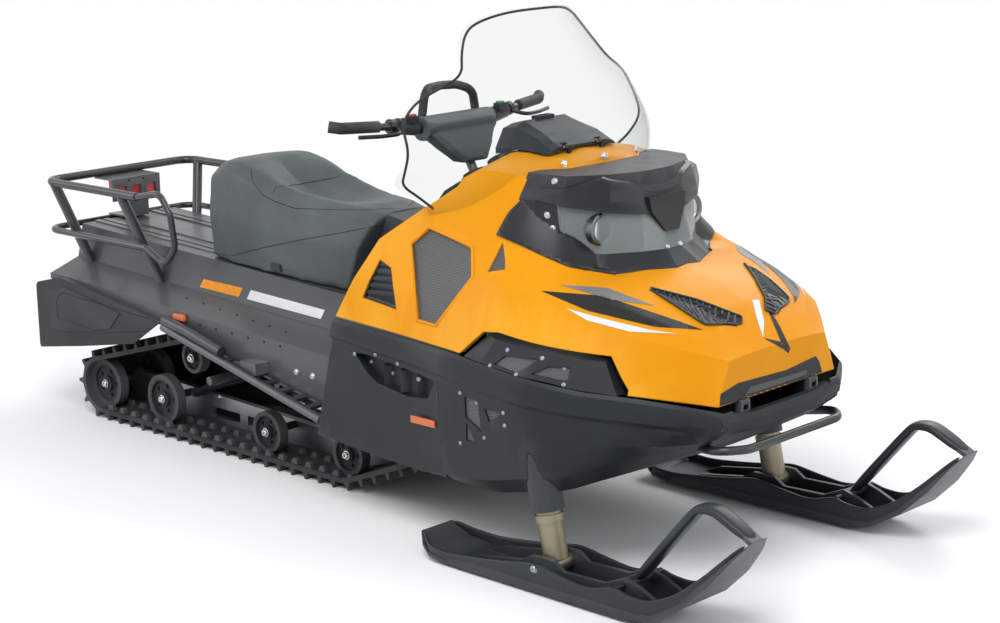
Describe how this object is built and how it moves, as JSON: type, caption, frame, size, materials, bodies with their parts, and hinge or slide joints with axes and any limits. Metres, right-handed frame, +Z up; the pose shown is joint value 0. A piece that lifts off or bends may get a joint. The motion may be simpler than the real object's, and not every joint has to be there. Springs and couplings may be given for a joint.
{
  "type": "utility snowmobile",
  "caption": "Wide-track utility snowmobile with tilting hood, steered skis on telescopic struts, long seat, rear cargo rack and tall windshield.",
  "frame": {"origin": "centre of the outline's base, on the snow under the skis and track", "axes": "+X towards the ski tips, +Y to the rider's left, +Z up"},
  "size_m": [3.2, 1.15, 1.47],
  "materials": {
    "black_aluminium": "satin black paint",
    "black_plastic": "grained black",
    "black_steel": "satin black powder coat",
    "red_lens": "clear red",
    "seat_vinyl": "grained vinyl",
    "engine_alloy": "cast",
    "yellow_shell": "gloss orange-yellow",
    "black_gloss": "gloss black",
    "clear_shield": "clear",
    "runner_steel": "ground",
    "ski_plastic": "satin black",
    "gold_rod": "champagne plated",
    "track_rubber": "moulded",
    "amber_lens": "clear orange-red",
    "black_mesh": "fine moulded mesh",
    "clear_lens": "clear",
    "lamp_chrome": "mirror coated",
    "grip_rubber": "moulded",
    "rail_alloy": "milled",
    "wheel_rubber": "moulded"
  },
  "bodies": {
    "root": {"belly_pan": "black_plastic", "bogie_wheels": "wheel_rubber", "bumper_bar": "black_steel", "cargo_rack": "black_steel", "carrier_wheels": "wheel_rubber", "console": "black_plastic", "drive_axle": "rail_alloy", "engine_block": "engine_alloy", "front_bumper": "black_plastic", "front_frame": "black_steel", "hinge_brackets": "black_steel", "instrument_panel": "black_gloss", "rack_plate": "black_steel", "rear_fender": "black_plastic", "rear_wheels": "wheel_rubber", "reflectors": "amber_lens", "running_board_left": "black_aluminium", "running_board_right": "black_aluminium", "seat": "seat_vinyl", "side_panel_left": "black_plastic", "side_panel_right": "black_plastic", "side_vent_left": "black_plastic", "side_vent_right": "black_plastic", "slide_rails": "rail_alloy", "strut_tube_left": "black_steel", "strut_tube_right": "black_steel", "suspension_arms": "black_steel", "tail_lamp": "red_lens", "tow_hitch": "black_steel", "track": "track_rubber", "tunnel": "black_aluminium", "vent_meshes": "black_mesh"},
    "hood": {"headlamps": "lamp_chrome", "headlight_housing": "black_gloss", "headlight_lens": "clear_lens", "headlight_visor": "black_gloss", "hood": "yellow_shell", "hood_grilles": "black_mesh", "hood_louvres": "black_plastic", "storage_box": "black_plastic", "windshield": "clear_shield"},
    "box_lid": {"box_lid": "black_plastic"},
    "steering": {"control_levers": "black_plastic", "grab_strap": "grip_rubber", "grips": "grip_rubber", "handlebar": "black_steel", "handlebar_pad": "seat_vinyl", "steering_column": "black_steel", "switch_pods": "black_plastic"},
    "ski_right": {"ski_handle_right": "black_plastic", "ski_right": "ski_plastic", "ski_runner_right": "runner_steel", "strut_rod_right": "gold_rod"},
    "ski_left": {"ski_handle_left": "black_plastic", "ski_left": "ski_plastic", "ski_runner_left": "runner_steel", "strut_rod_left": "gold_rod"}
  },
  "joints": [
    {"name": "hood_tilt", "type": "hinge", "parent": "root", "child": "hood", "pos_m": [1.296, 0, 0.498], "axis": [0, 1, 0], "range_deg": [0, 60]},
    {"name": "box_lid_lift", "type": "hinge", "parent": "hood", "child": "box_lid", "pos_m": [0.624, 0, 1.097], "axis": [0, 1, 0], "range_deg": [0, 30]},
    {"name": "handlebar_turn", "type": "hinge", "parent": "root", "child": "steering", "pos_m": [0.208, 0, 0.936], "axis": [-0.5, 0, 0.866], "range_deg": [-35, 35]},
    {"name": "ski_right_steer", "type": "hinge", "parent": "root", "child": "ski_right", "pos_m": [0.938, -0.48, 0.062], "axis": [-0.1994, 0, 0.9799], "range_deg": [-30, 30]},
    {"name": "ski_left_steer", "type": "hinge", "parent": "root", "child": "ski_left", "pos_m": [0.938, 0.48, 0.062], "axis": [-0.1994, 0, 0.9799], "range_deg": [-30, 30]}
  ],
  "couplings": [
    {"joint": "ski_right_steer", "follows": "handlebar_turn", "ratio": 0.85},
    {"joint": "ski_left_steer", "follows": "handlebar_turn", "ratio": 0.85}
  ]
}
